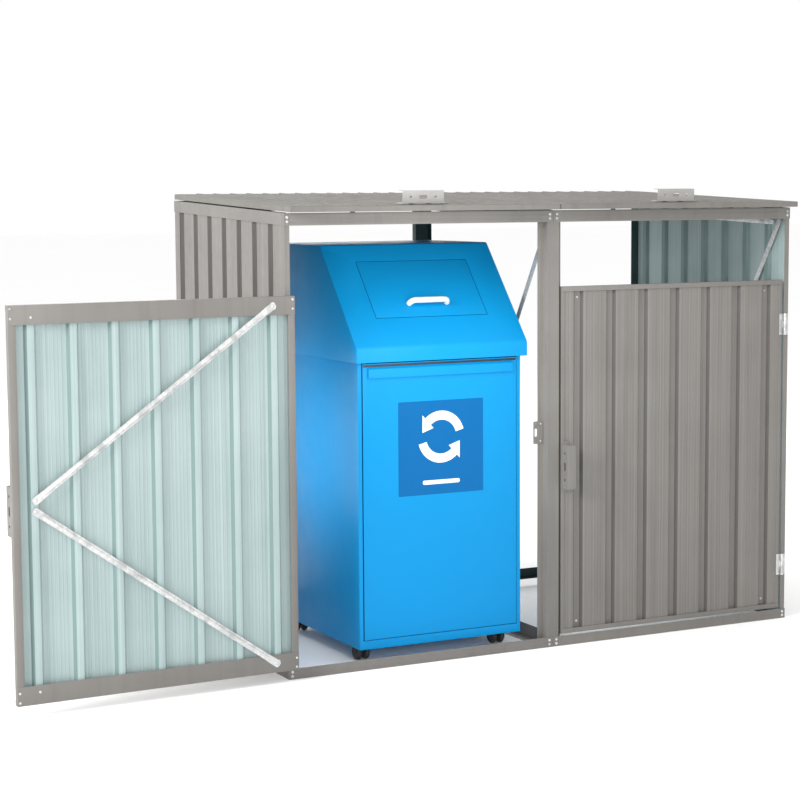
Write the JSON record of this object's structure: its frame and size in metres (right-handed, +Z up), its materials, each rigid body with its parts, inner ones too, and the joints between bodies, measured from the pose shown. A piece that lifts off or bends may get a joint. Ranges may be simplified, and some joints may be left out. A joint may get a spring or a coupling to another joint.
{
  "type": "recycling bin station",
  "caption": "Two-bay sheet-steel bin shed with hinged doors and lids, and a wheeled cabinet recycling bin with a flap and a front door in its left bay.",
  "frame": {"origin": "on the ground at the middle of the shed's footprint, on the underside of the middle base rail", "axes": "+X to the right along the front, +Y from the front to the rear, +Z up"},
  "size_m": [2.4842, 0.9091, 1.3441],
  "materials": {
    "taupe_steel": "satin",
    "inner_green": "satin",
    "zinc_steel": "galvanised",
    "handle_grey": "satin",
    "bin_blue": "semi-gloss powder coat",
    "white_plastic": "semi-gloss",
    "liner_plastic": "matte",
    "wheel_rubber": "matte",
    "caster_black": "matte"
  },
  "bodies": {
    "shed_frame": {"front_base_rails": "taupe_steel", "front_top_rails": "taupe_steel", "side_base_rails": "taupe_steel", "side_top_rails": "taupe_steel", "rear_corner_posts": "inner_green", "middle_base_rail": "taupe_steel", "middle_top_rail": "inner_green", "rear_bottom_rails": "inner_green", "rear_top_rails": "inner_green", "front_left_post": "taupe_steel", "front_right_post": "taupe_steel", "front_middle_post": "taupe_steel", "rear_middle_post": "inner_green", "left_wall": "taupe_steel", "right_wall": "taupe_steel", "diagonal_braces": "zinc_steel", "frame_bolts": "zinc_steel", "keeper_plates": "taupe_steel", "door_hinge_post_leaves": "zinc_steel", "hinge_pins": "zinc_steel", "lid_hinge_rail_leaves": "zinc_steel", "lid_buffers": "wheel_rubber", "lid_prop_brackets": "zinc_steel"},
    "left_door": {"left_door_sheet": "taupe_steel", "left_door_frame": "taupe_steel", "left_door_braces": "zinc_steel", "left_door_screws": "zinc_steel", "left_door_handle": "taupe_steel", "left_door_hinge_leaves": "zinc_steel"},
    "right_door": {"right_door_sheet": "taupe_steel", "right_door_frame": "taupe_steel", "right_door_braces": "zinc_steel", "right_door_screws": "zinc_steel", "right_door_handle": "taupe_steel", "right_door_hinge_leaves": "zinc_steel"},
    "left_lid": {"left_lid_skin": "taupe_steel", "left_lid_frame": "taupe_steel", "left_lid_handle": "handle_grey", "left_lid_hinge_leaves": "zinc_steel"},
    "right_lid": {"right_lid_skin": "taupe_steel", "right_lid_frame": "taupe_steel", "right_lid_handle": "handle_grey", "right_lid_hinge_leaves": "zinc_steel"},
    "left_prop": {"left_lid_prop": "zinc_steel"},
    "right_prop": {"right_lid_prop": "zinc_steel"},
    "bin_cabinet": {"bin_body": "bin_blue", "bin_hood": "bin_blue", "bin_liner": "liner_plastic", "caster_plates": "zinc_steel"},
    "bin_front_door": {"bin_door": "bin_blue"},
    "bin_flap": {"bin_flap": "bin_blue", "bin_flap_handle": "white_plastic"},
    "front_left_swivel": {"front_left_caster_swivel": "caster_black"},
    "front_left_wheels": {"front_left_caster_wheels": "wheel_rubber"},
    "front_right_swivel": {"front_right_caster_swivel": "caster_black"},
    "front_right_wheels": {"front_right_caster_wheels": "wheel_rubber"},
    "rear_left_swivel": {"rear_left_caster_swivel": "caster_black"},
    "rear_left_wheels": {"rear_left_caster_wheels": "wheel_rubber"},
    "rear_right_swivel": {"rear_right_caster_swivel": "caster_black"},
    "rear_right_wheels": {"rear_right_caster_wheels": "wheel_rubber"}
  },
  "joints": [
    {"name": "left_door_hinge", "type": "hinge", "parent": "shed_frame", "child": "left_door", "pos_m": [-0.8315, -0.424, 0.548], "axis": [0, 0, -1], "range_deg": [-178, 25]},
    {"name": "right_door_hinge", "type": "hinge", "parent": "shed_frame", "child": "right_door", "pos_m": [0.8315, -0.424, 0.548], "axis": [0, 0, 1], "range_deg": [0, 203]},
    {"name": "left_lid_hinge", "type": "hinge", "parent": "shed_frame", "child": "left_lid", "pos_m": [-0.425, 0.423, 1.319], "axis": [-1, 0, 0], "range_deg": [0, 60]},
    {"name": "right_lid_hinge", "type": "hinge", "parent": "shed_frame", "child": "right_lid", "pos_m": [0.425, 0.423, 1.319], "axis": [-1, 0, 0], "range_deg": [0, 60]},
    {"name": "left_prop_pivot", "type": "hinge", "parent": "shed_frame", "child": "left_prop", "pos_m": [-0.828, 0.142, 1.26011], "axis": [-1, 0, 0], "range_deg": [0, 92]},
    {"name": "right_prop_pivot", "type": "hinge", "parent": "shed_frame", "child": "right_prop", "pos_m": [0.828, 0.142, 1.26011], "axis": [-1, 0, 0], "range_deg": [0, 92]},
    {"name": "bin_lift", "type": "slide", "parent": "shed_frame", "child": "bin_cabinet", "axis": [0, 0, 1], "range_m": [0, 0.05]},
    {"name": "bin_door_pivot", "type": "hinge", "parent": "bin_cabinet", "child": "bin_front_door", "pos_m": [-0.585, -0.362, 0.465], "axis": [0, 0, -1], "range_deg": [0, 110]},
    {"name": "bin_flap_pivot", "type": "hinge", "parent": "bin_cabinet", "child": "bin_flap", "pos_m": [-0.344, -0.18744, 1.12904], "axis": [-1, 0, 0], "range_deg": [0, 75]},
    {"name": "front_left_swivel_turn", "type": "hinge", "parent": "bin_cabinet", "child": "front_left_swivel", "pos_m": [-0.567, -0.299, 0.054], "axis": [0, 0, 1], "continuous": true},
    {"name": "front_left_wheels_roll", "type": "hinge", "parent": "front_left_swivel", "child": "front_left_wheels", "pos_m": [-0.567, -0.287, 0.024], "axis": [1, 0, 0], "continuous": true},
    {"name": "front_right_swivel_turn", "type": "hinge", "parent": "bin_cabinet", "child": "front_right_swivel", "pos_m": [-0.121, -0.299, 0.054], "axis": [0, 0, 1], "continuous": true},
    {"name": "front_right_wheels_roll", "type": "hinge", "parent": "front_right_swivel", "child": "front_right_wheels", "pos_m": [-0.121, -0.287, 0.024], "axis": [1, 0, 0], "continuous": true},
    {"name": "rear_left_swivel_turn", "type": "hinge", "parent": "bin_cabinet", "child": "rear_left_swivel", "pos_m": [-0.567, 0.131, 0.054], "axis": [0, 0, 1], "continuous": true},
    {"name": "rear_left_wheels_roll", "type": "hinge", "parent": "rear_left_swivel", "child": "rear_left_wheels", "pos_m": [-0.567, 0.143, 0.024], "axis": [1, 0, 0], "continuous": true},
    {"name": "rear_right_swivel_turn", "type": "hinge", "parent": "bin_cabinet", "child": "rear_right_swivel", "pos_m": [-0.121, 0.131, 0.054], "axis": [0, 0, 1], "continuous": true},
    {"name": "rear_right_wheels_roll", "type": "hinge", "parent": "rear_right_swivel", "child": "rear_right_wheels", "pos_m": [-0.121, 0.143, 0.024], "axis": [1, 0, 0], "continuous": true}
  ],
  "couplings": [
    {"joint": "left_prop_pivot", "follows": "left_lid_hinge", "ratio": 1.52},
    {"joint": "right_prop_pivot", "follows": "right_lid_hinge", "ratio": 1.52}
  ]
}
